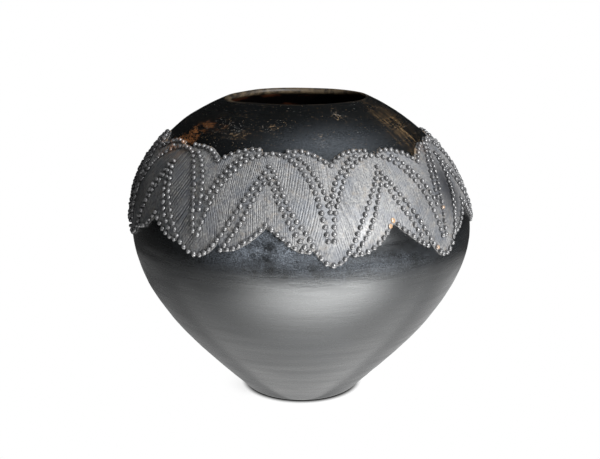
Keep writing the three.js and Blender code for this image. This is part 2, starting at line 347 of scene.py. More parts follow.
def burnished_clay():
    """Smoke-blackened clay with a burnisher's streaks, and brown and pale clay showing through. Its shoulder is
    painted darker as shade, a grey sheen over the band is a painted highlight, and a blue-grey cloud under the band is
    partly a painted reflection.
    """
    shader = Shader(bpy.data.materials.new("burnished_clay"))
    mottle = shader.ramp(shader.noise(14, 5, (1, 1, 1.5), roughness=0.6), 0.35, 0.7)
    colour = shader.mix(mottle, (0.004, 0.0044, 0.0048, 1), (0.013, 0.0145, 0.016, 1))
    # Painted shade: the shoulder, which faces up, is made darker than the rest of the body.
    shoulder_painted_shade = shader.mix(mottle, (0.0022, 0.0025, 0.0022, 1), (0.007, 0.008, 0.0085, 1))
    colour = shader.mix(shader.value("shoulder"), colour, shoulder_painted_shade)
    grain = shader.noise(520, 4, (1, 1, 1.3), (0.2, 0.4, 0.1), 0.68)
    speck = shader.noise(950, 3, (1, 1, 1.2), (0.9, 0.1, 0.6), 0.7)
    # A pale blue-grey cloud with pale specks under the band, partly the clay's own colour and partly a painted
    # reflection.
    cloud = shader.ramp(shader.noise(75, 6, (1, 1, 1), (0.4, 0.9, 0.2), 0.68), 0.26, 0.58)
    clouded_reflection = shader.product(cloud, shader.value("bloom_and_painted_reflection"), shader.ramp(speck, 0.38, 0.62, 0.15, 1))
    colour = shader.mix(clouded_reflection, colour, (0.3, 0.34, 0.395, 1))
    dusted = shader.product(shader.ramp(speck, 0.62, 0.7), shader.value("bloom_and_painted_reflection"))
    colour = shader.mix(dusted, colour, (0.5, 0.53, 0.56, 1))

    drift = shader.ramp(shader.noise(95, 5, (1, 1, 1.6), (0.3, 0.2, 0.8), 0.65), 0.38, 0.55)
    brown = shader.ramp(shader.product(shader.value("scorch"), drift), 0.12, 0.5)
    brown = shader.product(brown, shader.ramp(grain, 0.42, 0.56), shader.ramp(speck, 0.4, 0.56, 0.4, 1))
    colour = shader.mix(brown, colour, (0.6, 0.23, 0.07, 1))
    threads = shader.threads(95, 7)
    scratched = shader.product(shader.value("streaks"), shader.ramp(threads, 0.54, 0.6), shader.ramp(grain, 0.4, 0.54))
    colour = shader.mix(scratched, colour, (0.6, 0.38, 0.18, 1))
    fleck = shader.noise(640, 3, (1, 1, 1.4), (0.6, 0.1, 0.3), 0.6)
    flecked = shader.math("ADD", fleck, shader.product(shader.value("scuffs"), 0.16))
    pale = shader.mix(drift, (0.3, 0.3, 0.29, 1), (0.34, 0.23, 0.13, 1))
    fleck_share = shader.product(shader.ramp(flecked, 0.71, 0.76), shader.math("GREATER_THAN", shader.value("scuffs"), 0.01))
    colour = shader.mix(fleck_share, colour, pale)
    # Painted highlight: a grey sheen on the shoulder, most of it at the front over the band.
    painted_highlight_haze = shader.product(shader.value("painted_highlight_haze"), shader.ramp(speck, 0.34, 0.66, 0.35, 1))
    colour = shader.mix(painted_highlight_haze, colour, (0.13, 0.147, 0.168, 1))

    ember = shader.ramp(shader.noise(45, 4, (1, 1, 2), (0.2, 0.6, 0.4)), 0.5, 0.66)
    within = shader.mix(ember, (0.004, 0.003, 0.0025, 1), (0.14, 0.045, 0.02, 1))
    colour = shader.mix(shader.value("inside"), colour, within)
    worn = shader.ramp(shader.noise(110, 5, (1, 1, 1), (0.1, 0.8, 0.3), 0.7), 0.36, 0.6)
    lip_tone = shader.mix(worn, (0.025, 0.02, 0.015, 1), (0.17, 0.125, 0.075, 1))
    colour = shader.mix(shader.value("lip"), colour, lip_tone)

    streak = shader.noise(26, 5, (1, 1, 9), (0.3, 0.1, 0.2), 0.62)
    fine_streak = shader.noise(120, 4, (1, 1, 12), (0.7, 0.2, 0.5), 0.6)
    rough = shader.ramp(streak, 0.3, 0.75, 0.24, 0.33)
    rough = shader.math("ADD", rough, shader.product(brown, 0.25))
    rough = shader.math("ADD", rough, shader.product(shader.value("inside"), 0.35))
    rough = shader.math("ADD", rough, shader.product(shader.value("lip"), 0.25))
    normal = shader.bump(streak, shader.ramp(shader.value("bloom_and_painted_reflection"), 0, 0.5, 0.4, 0.12), 0.0004)
    normal = shader.bump(fine_streak, 0.3, 0.00015, normal)
    normal = shader.bump(shader.noise(160, 4, (1, 1, 1.5), (0.1, 0.7, 0.7), 0.6), 0.3, 0.00025, normal)
    index = shader.ramp(shader.value("inside"), 0, 1, 1.8, 1.2)
    return shader.finish(colour, rough, normal, IOR=index, **{"Specular Tint": (0.95, 0.98, 1, 1)})


def combed_clay():
    """Matt grey clay, rubbed pale on its upper edge and brown where fire reached. Painted shade darkens its combed
    strokes, its guide lines, the crevices round the pellets, its lower edge and its far left.
    """
    shader = Shader(bpy.data.materials.new("combed_clay"))
    mottle = shader.ramp(shader.noise(26, 5, (1, 1, 1), (0.5, 0.1, 0.7), 0.62), 0.32, 0.7)
    colour = shader.mix(mottle, (0.25, 0.257, 0.268, 1), (0.42, 0.423, 0.43, 1))
    grain = shader.noise(900, 4, (1, 1, 0.5), roughness=0.65)
    colour = shader.mix(shader.ramp(grain, 0.5, 0.66, 0, 0.7), colour, (0.7, 0.69, 0.66, 1))
    colour = shader.mix(shader.ramp(grain, 0.36, 0.48, 0.8, 0), colour, (0.1, 0.102, 0.115, 1))
    warm = shader.ramp(shader.noise(240, 4, (1, 1, 1), (0.2, 0.8, 0.4), 0.6), 0.5, 0.72, 0, 0.5)
    colour = shader.mix(warm, colour, (0.43, 0.37, 0.3, 1))
    cool = shader.ramp(shader.noise(60, 4, (1, 1, 1), (0.6, 0.2, 0.4), 0.6), 0.45, 0.66, 0, 0.5)
    colour = shader.mix(cool, colour, (0.19, 0.215, 0.26, 1))
    # Painted shade: darker colour in the combed strokes, by their depth.
    colour = shader.mix(shader.product(shader.value("stroke"), 0.85), colour, (0.07, 0.072, 0.08, 1))
    # Painted shade: near-black colour in the guide lines and in the crevices round the pellets.
    colour = shader.mix(shader.product(shader.value("guide"), 0.92), colour, (0.01, 0.01, 0.011, 1))

    patches = shader.ramp(shader.noise(130, 4, (1, 1, 1), (0.9, 0.3, 0.1), 0.6), 0.42, 0.6)
    colour = shader.mix(shader.product(shader.value("edge"), patches), colour, (0.5, 0.38, 0.26, 1))
    # Painted shade: the band's lower edge, which faces down, is darkened.
    colour = shader.mix(shader.product(shader.value("foot"), 0.8), colour, (0.07, 0.068, 0.066, 1))
    burnt = shader.product(shader.value("scorch"), patches, 0.9)
    colour = shader.mix(burnt, colour, (0.46, 0.27, 0.14, 1))
    # Painted shade at the band's far left, and darker patches at the right and the back.
    colour = shader.mix(shader.value("shade_and_dark_patches"), colour, (0.02, 0.022, 0.028, 1))
    rough = shader.ramp(grain, 0.3, 0.7, 0.4, 0.5)
    normal = shader.bump(grain, 0.35, 0.0003)
    normal = shader.bump(shader.noise(300, 3), 0.25, 0.0004, normal)
    return shader.finish(colour, rough, normal, IOR=1.85)


def pellet_clay():
    """Dark clay beads, polished on top by handling, some chipped down to the orange clay, with painted shade round
    their foot.
    """
    shader = Shader(bpy.data.materials.new("pellet_clay"))
    colour = shader.mix(shader.value("tone"), (0.095, 0.097, 0.103, 1), (0.2, 0.203, 0.21, 1))
    worn = shader.ramp(shader.noise(420, 3), 0.35, 0.65, 0.4, 1)
    rub = shader.product(shader.ramp(shader.value("top"), 0.4, 0.9), worn, 0.45)
    colour = shader.mix(rub, colour, (0.42, 0.42, 0.425, 1))
    # Painted shade: a dark ring low round each pellet, where it meets the band.
    low = shader.ramp(shader.value("top"), 0.03, 0.24, 1, 0)
    colour = shader.mix(shader.product(low, 0.8), colour, (0.012, 0.012, 0.013, 1))
    patches = shader.ramp(shader.noise(150, 4, (1, 1, 1), (0.3, 0.3, 0.1), 0.6), 0.42, 0.6)
    colour = shader.mix(shader.product(shader.value("scorch"), patches, 0.9), colour, (0.42, 0.2, 0.09, 1))
    # Painted shade on the pellets at the band's far left, and darker patches at the right and the back.
    colour = shader.mix(shader.product(shader.value("shade_and_dark_patches"), 0.8), colour, (0.012, 0.013, 0.016, 1))
    colour = shader.mix(shader.value("chip"), colour, (0.72, 0.46, 0.27, 1))
    rough = shader.ramp(shader.noise(500, 3, (1, 1, 1), (0.4, 0.4, 0.4)), 0.3, 0.7, 0.26, 0.34)
    normal = shader.bump(shader.noise(600, 3), 0.25, 0.0003)
    return shader.finish(colour, rough, normal, IOR=2.3)


# The body

def patch(around, height, middle, reach):
    """1 in the middle of a patch, given in degrees and millimetres, falling away over its reach."""
    away = np.mod(around - middle[0] + 180, 360) - 180
    return np.exp(-(away / reach[0]) ** 2 - ((height - middle[1]) / reach[1]) ** 2)


def scorch(around, height):
    """Where fire left the shoulder brown."""
    found = patch(around, height, (-56, 236), (6, 9)) + 0.8 * patch(around, height, (-62, 226), (10, 6))
    found += 0.35 * patch(around, height, (-44, 246), (9, 6)) + 0.5 * patch(around, height, (150, 236), (22, 12))
    return np.clip(found, 0, 1)


def streaks(around, height):
    """Where brown clay shows in scratches that run down the shoulder."""
    found = patch(around, height, (60, 240), (8, 15)) + 0.5 * patch(around, height, (68, 250), (10, 8))
    return np.clip(found + 0.5 * patch(around, height, (-130, 238), (12, 14)), 0, 1)


def scuffs(around, height):
    """How densely pale grains show, everywhere on the shoulder and most of all in a few spots."""
    found = 0.35 * between(height, 215, 232) + 0.4 * patch(around, height, (-34, 244), (16, 9))
    for spot in ((26, 256), (27, 252), (11, 240), (12, 236), (-27, 241), (-12, 247)):
        found += 0.6 * patch(around, height, spot, (3.5, 3))
    return np.clip(found, 0, 1)


def painted_highlight_haze(around, height):
    """How much of a painted highlight, a grey sheen, lies on the shoulder, most of it at the front over the band."""
    found = patch(around, height, (14, 235), (26, 11)) + 0.25 * patch(around, height, (-150, 240), (60, 14))
    return np.clip(0.03 * between(height, 215, 232) + 0.85 * found, 0, 1)


def bloom_and_painted_reflection(around, height):
    """Where a blue-grey cloud lies on the black just under the band: partly the clay's own colour and partly a painted
    reflection.
    """
    found = patch(around, height, (-11, 166), (21, 16)) + 0.4 * patch(around, height, (20, 150), (18, 9))
    found += 0.05 * patch(around, height, (60, 150), (20, 12)) + 0.4 * patch(around, height, (190, 160), (30, 14))
    return np.clip(found, 0, 1)


def shade_and_dark_patches(around, height):
    """Where the band is darker: at its far left a painted shade on the side that the lamps leave dark, and darker
    patches at the right and the back.
    """
    found = 0.9 * patch(around, height, (-88, 184), (20, 28)) + 0.7 * patch(around, height, (63, 196), (7, 24))
    found += 0.35 * patch(around, height, (54, 185), (18, 32))
    return np.clip(found + 0.5 * patch(around, height, (160, 200), (16, 30)), 0, 1)


def build_body(material):
    turn = TAU * np.arange(BODY_COLUMNS) / BODY_COLUMNS
    ring = lambda radius, height: np.stack(
        [radius * np.sin(turn), -radius * np.cos(turn), np.broadcast_to(height, turn.shape)], axis=-1)
    rows = []
    for share in BASE_RINGS:
        hollow = 0.5 * (1 - share**4)
        rows.append(ring(BASE_RADIUS * share, hollow))
    for share in np.linspace(0, 1, 7):
        start = (1 - share) ** 2 * np.array((BASE_RADIUS, 0))
        middle = 2 * share * (1 - share) * np.array(foot_corner)
        radius, height = start + middle + share**2 * np.array(foot_end)
        rows.append(ring(radius, height))
    outer_start = len(rows)
    outer_steps = round((WALL_TOP - WALL_FOOT) / WALL_STEP)
    outer_along = np.linspace(WALL_FOOT, WALL_TOP, outer_steps)[1:]
    rows += [place(turn, along, 0) for along in outer_along]
    lip_start = len(rows)

    # The lip is a half circle between the two faces of the wall, a little uneven all the way round
    uneven = 0.35 * wander(turn, 0 * turn, 11, 10, 4)
    lip_thickness = LIP_THICKNESS * (1 - THIN_LIP * between(np.sin(turn), 0.5, 1))
    for step in range(1, LIP_STEPS):
        angle = math.pi * step / LIP_STEPS
        lift = -lip_thickness / 2 * (1 - math.cos(angle))
        beyond = lip_thickness / 2 * math.sin(angle)
        edge = place(turn, WALL_TOP, lift)
        before = place(turn, WALL_TOP - 1, lift)
        rows.append(edge + (edge - before) * (beyond + uneven * math.sin(angle))[:, None])
    inner_start = len(rows)
    inner_along = np.arange(WALL_TOP, WALL_FOOT, -INNER_STEP)
    for along in inner_along:
        depth = WALL_THICKNESS + (lip_thickness - WALL_THICKNESS) * between(along, WALL_TOP - 60, WALL_TOP)
        coil = 0.4 * math.sin(TAU * along / 11) * smooth_step((WALL_TOP - along) / 20)
        row = place(turn, along, -depth + coil)
        if row[:, 2].min() > FLOOR_THICKNESS + 3:
            rows.append(row)
    last = rows[-1]
    last_radius = np.hypot(last[:, 0], last[:, 1]).mean()
    floor_radius = last_radius - (last[:, 2].mean() - FLOOR_THICKNESS) / FOOT_SLOPE
    for share in (0.95, 0.8, 0.5, 0.2):
        rows.append(ring(floor_radius * share, FLOOR_THICKNESS))
    grid = np.array(rows)
    count = len(rows)

    points = np.vstack([grid.reshape(-1, 3), [(0, 0, 0.5), (0, 0, FLOOR_THICKNESS)]])
    base_centre = count * BODY_COLUMNS
    floor_centre = base_centre + 1
    faces = grid_faces(count, BODY_COLUMNS, True).tolist()
    top = (count - 1) * BODY_COLUMNS
    for i in range(BODY_COLUMNS):
        j = (i + 1) % BODY_COLUMNS
        faces.append((base_centre, j, i))
        faces.append((top + i, top + j, floor_centre))

    turns = np.broadcast_to(turn, grid.shape[:2])
    around, height = np.degrees(np.mod(turns + math.pi, TAU) - math.pi), grid[:, :, 2]
    outside = np.zeros((count, 1))
    outside[outer_start:lip_start] = 1
    inside = np.zeros((count, BODY_COLUMNS))
    inside[inner_start:] = 1
    inside[lip_start:inner_start] = between(np.linspace(0, 1, inner_start - lip_start), 0.5, 1)[:, None]
    far = between(-np.cos(turns), -0.3, 0.4)
    left = between(-np.sin(turns), 0.6, 0.9)
    lip = np.zeros((count, BODY_COLUMNS))
    lip[lip_start - 1:inner_start + 1] = np.maximum(np.maximum(far, left), 0.15)[lip_start - 1:inner_start + 1]
    values = {
        "scorch": scorch(around, height) * outside,
        "streaks": streaks(around, height) * outside,
        "scuffs": scuffs(around, height) * outside,
        "painted_highlight_haze": painted_highlight_haze(around, height) * outside,
        "bloom_and_painted_reflection": bloom_and_painted_reflection(around, height) * outside,
        # Where the body's colour is painted darker as shade, on the shoulder
        "shoulder": between(height, 205, 225) * outside,
        "inside": inside,
        "lip": lip,
    }
    padded = {key: np.r_[column.ravel(), 0, key == "inside"] for key, column in values.items()}
    return new_piece("pot_body_burnished", points, faces, material, ["pot_body"], padded)


# The pattern's lines, as arrays of (turn, distance along the wall)

def standard(points):
    """A curve from four Bezier points, given as degrees from a figure's axis and millimetres along."""
    line = bezier(points, 60)
    line[:, 0] = np.radians(line[:, 0])
    return line


def drawn(*points):
    """A smooth curve through listed points, given as degrees from the front and height in mm."""
    knots = np.array(points, float)
    knots = np.stack([np.radians(knots[:, 0]), along_of(knots[:, 1])], axis=1)
    steps = np.hypot(BELLY_RADIUS * np.diff(knots[:, 0]), np.diff(knots[:, 1]))
    reached = np.r_[0, np.cumsum(steps)]
    slopes = np.gradient(knots, reached, axis=0)
    fine = np.linspace(0, reached[-1], int(reached[-1]) + 2)
    span = np.clip(np.searchsorted(reached, fine, side="right") - 1, 0, len(knots) - 2)
    width = (reached[span + 1] - reached[span])[:, None]
    share = ((fine - reached[span])[:, None]) / width
    start, end = knots[span], knots[span + 1]
    return (
        (1 + 2 * share) * (1 - share) ** 2 * start + share * (1 - share) ** 2 * width * slopes[span]
        + share**2 * (3 - 2 * share) * end + share**2 * (share - 1) * width * slopes[span + 1]
    )


def turned(line, turn):
    return line + (turn, 0)


def mirrored(line):
    return line * (-1, 1)


def there_and_back(half, axis):
    """A line in two halves that mirror about an axis: from the left end to the right one."""
    return turned(np.vstack([mirrored(half)[::-1], half[1:]]), axis)


valley_of = {figure: FIRST_VALLEY + FIGURE * (figure - 1) for figure in FIGURES}
for late in FIGURES:
    if valley_of[late] > math.pi:
        valley_of[late] -= TAU

LOW_ARCHES = {3: 0.91, 6: 0.93, 7: 0.92}
LOW_LEAVES = {3: 0.93, 4: 0.9, 7: 0.91}
HALF_ARCH = standard([(0.8, 16), (2.2, 46), (5.5, 88), (20, 88.3)])
HALF_SWAG = standard([(0, 0.5), (4.2, 0.9), (6.5, 16), (19.4, 73)])
UPPER_ARM = standard([(0.3, 38), (1.6, 58.6), (5, 80.3), (15.5, 90.5)])
UPPER_LOBE = standard([(0, 78.3), (3, 84.6), (8, 92.8), (15.5, 90.5)])
LOWER_ARM = standard([(0.3, 64), (4.3, 46), (8.8, 27), (12.9, 9.4)])
LOWER_LOBE = standard([(0, 31), (3, 22), (8, 11.9), (12.9, 9.4)])

# An arch runs from its figure's valley over to the next one, and some are lower than the others
arches = {}
for figure in FIGURES:
    crown = valley_of[figure] + FIGURE / 2
    from_crown = np.stack([FIGURE / 2 - HALF_ARCH[::-1, 0], HALF_ARCH[::-1, 1]], axis=1)
    arches[figure] = there_and_back(from_crown * (1, LOW_ARCHES.get(figure, 1)), crown)
swags = {figure: there_and_back(HALF_SWAG, valley_of[figure]) for figure in FIGURES}


def standard_leaf(arm, lobe, axis, rise=1):
    """A leaf's two arms from its point and its two lobes from its notch, left and right."""
    arm, lobe = arm * (1, rise), lobe * (1, rise)
    return {
        "arms": (turned(mirrored(arm), axis), turned(arm, axis)),
        "lobes": (turned(mirrored(lobe), axis), turned(lobe, axis)),
    }


upper_leaves = {
    figure: standard_leaf(UPPER_ARM, UPPER_LOBE, valley_of[figure], LOW_LEAVES.get(figure, 1)) for figure in FIGURES
}
lower_leaves = {
    figure: standard_leaf(LOWER_ARM, LOWER_LOBE, valley_of[figure] + FIGURE / 2) for figure in FIGURES
}

# The figures that face the front were each drawn a little differently
arches[8] = drawn(
    (-71.7, 168), (-71.2, 186), (-69.4, 204), (-66, 215), (-60.9, 223), (-55.8, 227.5), (-50, 228.5),
    (-44, 225.5), (-39.5, 216), (-36.4, 205), (-34.6, 190), (-33.4, 173))
arches[9] = drawn(
    (-31.7, 171), (-30.1, 183), (-27.4, 200), (-22.8, 216), (-18, 225), (-11, 229.5), (-4, 228),
    (1.9, 220), (5.7, 207), (7.4, 189), (8.5, 171))
arches[1] = drawn(
    (10.2, 171), (11.4, 189), (14.5, 204), (18.6, 217), (24.8, 224.5), (32, 226.5), (38.5, 221.5),
    (43.6, 210), (46.4, 196), (48, 180), (49.2, 163))
arches[2] = drawn(
    (51.2, 163), (52.2, 178), (54.2, 191), (57.5, 204), (62, 216), (68.5, 226), (76, 228.5),
    (83, 222), (86.4, 204), (87.6, 186), (88.6, 170))
swags[8] = drawn(
    (-89, 219), (-82, 187), (-76, 163), (-71, 154), (-66.5, 158), (-62.5, 177), (-58.9, 194),
    (-55.3, 209), (-52.8, 218))
swags[9] = drawn(
    (-51.6, 218), (-49.3, 207), (-45.6, 190.5), (-41.4, 173), (-38, 162), (-33.8, 156), (-31.1, 156),
    (-27.5, 162), (-23.1, 175), (-18.4, 192), (-13.9, 208), (-10.8, 217), (-9.5, 221.1))
swags[1] = drawn(
    (-7.6, 218.7), (-6.9, 215.4), (-5, 207), (-1.7, 191), (2.8, 174), (5.6, 161), (9.2, 153.3), (11.4, 154),
    (14.6, 163), (18.7, 180), (23.2, 196), (27, 207), (29.2, 214), (30.6, 218.8))
swags[2] = drawn(
    (31.5, 214.6), (32.4, 211), (34.2, 204), (38.2, 188), (42.4, 168), (45.6, 156), (50, 148.3), (52.6, 150.5),
    (56, 161), (59.8, 178), (64.5, 197), (69.4, 218))
upper_leaves[9] = {
    "arms": (
        drawn((-32, 189), (-32.6, 202), (-35.2, 216), (-39.6, 225), (-45.8, 231)),
        drawn((-31.5, 189), (-29.5, 201), (-25.9, 215), (-20.5, 226.5), (-14.6, 232))),
    "lobes": (
        drawn((-30, 223), (-31.6, 225.5), (-35.2, 229), (-40, 231), (-45.8, 231)),
        drawn((-30, 223), (-26.7, 227), (-22.4, 230), (-18.3, 232), (-14.6, 232))),
}
upper_leaves[1] = {
    "arms": (
        drawn((9.9, 191), (9.4, 201), (6.9, 215), (3.2, 224.5), (-2.8, 231)),
        drawn((10.4, 193), (12.2, 206), (15.4, 216), (20.8, 225), (28.5, 230))),
    "lobes": (
        drawn((13, 222), (10.8, 224.6), (7, 228.6), (2.2, 231.3), (-2.8, 231)),
        drawn((13, 222), (15.2, 225.5), (18.8, 228.8), (23.1, 230.5), (28.5, 230))),
}
upper_leaves[2] = {
    "arms": (
        drawn((50.6, 187), (49.6, 196), (46.4, 211), (41.6, 222.5), (35.8, 229)),
        drawn((51.4, 187), (53.2, 198), (56.5, 211), (60.5, 219.5), (66.3, 227))),
    "lobes": (
        drawn((51.8, 218), (48.8, 222.5), (45.2, 226), (40.2, 228.5), (35.8, 229)),
        drawn((51.8, 218), (55.3, 222.5), (59.8, 226), (63.2, 227.5), (66.3, 227))),
}
lower_leaves[8] = {
    "arms": (
        drawn((-52.6, 211), (-56.5, 197), (-60.2, 182), (-64.6, 163)),
        drawn((-52.1, 211), (-49.8, 197), (-46.6, 180), (-41.2, 164))),
    "lobes": (
        drawn((-51.6, 180), (-54.5, 174), (-59, 166), (-64.6, 163)),
        drawn((-51.6, 180), (-48.5, 173), (-44.8, 166.5), (-41.2, 164))),
}
lower_leaves[9] = {
    "arms": (
        drawn((-9.2, 214), (-10.6, 210.5), (-12.8, 203), (-16.5, 186), (-20.5, 172), (-23.7, 162)),
        drawn((-8.3, 210.4), (-7.2, 206.6), (-5.7, 199), (-2.6, 184), (0.3, 172), (2.8, 163.5))),
    "lobes": (
        drawn((-9.7, 182.5), (-12.5, 176), (-16.5, 168.5), (-20, 164), (-23.7, 162)),
        drawn((-9.7, 182.5), (-6.5, 177), (-3.2, 170), (-0.3, 165), (2.8, 163.5))),
}
lower_leaves[1] = {
    "arms": (
        drawn((30.6, 210.6), (28.9, 205.5), (27.2, 200), (23.7, 185), (19.9, 171.5), (16.1, 160)),
        drawn((31.3, 206), (33, 197.5), (36.3, 183), (39.3, 169.5), (41.7, 159))),
    "lobes": (
        drawn((30, 182), (27.4, 174.5), (22.6, 165), (19.5, 161.3), (16.1, 160)),
        drawn((30, 182), (33.1, 175), (35.8, 169.5), (38.7, 163.5), (41.7, 159))),
}


def outline(leaf):
    """Right round a leaf, from its point."""
    left_arm, right_arm = leaf["arms"]
    left_lobe, right_lobe = leaf["lobes"]
    return np.vstack([left_arm, left_lobe[::-1][1:], right_lobe[1:], right_arm[::-1][1:]])


# Where the pellets stand

def pellets_along(line):
    """Places at the pellets' pitch along a line, ends included."""
    radius = wall_at((line[1:, 1] + line[:-1, 1]) / 2)[0]
    steps = np.hypot(radius * np.diff(line[:, 0]), np.diff(line[:, 1]))
    reached = np.r_[0, np.cumsum(steps)]
    wanted = np.linspace(0, reached[-1], round(reached[-1] / PELLET_PITCH) + 1)
    return np.stack([np.interp(wanted, reached, line[:, 0]), np.interp(wanted, reached, line[:, 1])], axis=1)


def leaf_pellets(leaf):
    """Pellets on a leaf's lobes and then its arms, without those that would stand in another."""
    places = []
    for line in (*leaf["lobes"], *(arm[::-1] for arm in leaf["arms"])):
        for turn, along in pellets_along(line):
            radius = wall_at(along)[0]
            if all(math.hypot(radius * (turn - t), along - a) > 0.9 * PELLET_WIDTH for t, a in places):
                places.append((turn, along))
    return np.array(places)


def shaken(places, random):
    """The same places, each a little out of line."""
    radius = wall_at(places[:, 1])[0]
    off = random.normal(0, 0.15, places.shape)
    return places + off / np.stack([radius, np.ones_like(radius)], axis=1)


even_stands = {}
for figure in FIGURES:
    even_stands[f"arch_row_{figure}"] = pellets_along(arches[figure])
    even_stands[f"swag_row_{figure}"] = pellets_along(swags[figure])
    even_stands[f"upper_leaf_row_{figure}"] = leaf_pellets(upper_leaves[figure])
    even_stands[f"lower_leaf_row_{figure}"] = leaf_pellets(lower_leaves[figure])
shaker = np.random.default_rng(7)
stands = {name: shaken(places, shaker) for name, places in even_stands.items()}


# The band

def round_the_pot(turns, line, default):
    """How far up a line lies at each turn, or the default where it doesn't reach."""
    middle = (line[0, 0] + line[-1, 0]) / 2
    near = middle + np.mod(turns - middle + math.pi, TAU) - math.pi
    order = np.argsort(line[:, 0])
    return np.interp(near, line[order, 0], line[order, 1], left=default, right=default)


def envelope(turns, lines, side):
    """The outermost of several lines, above for side 1 and below for side -1."""
    reached = [side * round_the_pot(turns, line, -side * 1000) for line in lines]
    return side * np.max(reached, axis=0)


def margin_outside(turns, edge, side, margin):
    """The edge moved outwards by a margin, square to itself."""
    radius = wall_at(edge)[0]
    column = TAU / len(turns)
    widest = int(margin / (radius.min() * column))
    moved = edge + side * margin
    for shift in range(-widest, widest + 1):
        across = abs(shift) * column * radius
        rise = np.sqrt(np.maximum(0, margin**2 - across**2))
        moved = side * np.maximum(side * moved, side * (np.roll(edge, shift) + side * rise))
    return moved


def smoothed(edge, reach):
    """The average over so many columns on both sides."""
    return np.mean([np.roll(edge, shift) for shift in range(-reach, reach + 1)], axis=0)


def distance_to(points, turns, along):
    """Millimetres on the wall from each place to the nearest of some points."""
    radius = wall_at(along)[0]
    nearest = np.full(turns.shape, 1e6, np.float32)
    for turn, rise in points.astype(np.float32):
        away = np.mod(turns - turn + math.pi, TAU) - math.pi
        squared = (radius * away) ** 2 + (along - rise) ** 2
        np.minimum(nearest, squared, out=nearest)
    return np.sqrt(nearest)


# How far the strokes between two double rows lean to the right, in degrees, left and right of each valley
STROKE_LEANS = {
    8: (30, 44), 9: (42, 2), 1: (24, -15), 2: (-3, 4), 3: (12, -10), 4: (25, 0), 5: (-20, 8), 6: (5, 18), 7: (-8, 34),
}
STROKE_BEND = 70
SMOOTH_LEAVES = {2: 0.35, 3: 0.6, 6: 0.5}


def strokes_at(turn, along, middle, lean, key):
    """Depth of combed strokes, from 0 to 1. They are upright but for a lean that dies out up the wall."""
    radius = wall_at(along)[0]
    bend = STROKE_BEND * (1 - np.exp(-along / STROKE_BEND))
    tilt = math.radians(lean)
    pitch = STROKE_PITCH * (1 + abs(lean) / 130)
    phase = (radius * (turn - middle) - math.tan(tilt) * bend) * math.cos(tilt) / pitch
    phase = phase + 0.4 * wander(turn, along, 90, 26, 20 + key) + 0.12 * wander(turn, along, 300, 9, 21 + key)
    stroke = np.floor(phase).astype(int)
    within = phase - stroke
    firmness = np.random.default_rng(30 + key).uniform(0.4, 1, 1024)[stroke % 1024]
    lifts = wander(stroke * TAU / 1024, along, 1024, 7, 40 + key)
    pressed = np.clip(0.8 + 0.8 * lifts, 0.15, 1)
    return between(0.5 - 0.5 * np.cos(TAU * within), 0.1, 0.9) * firmness * pressed


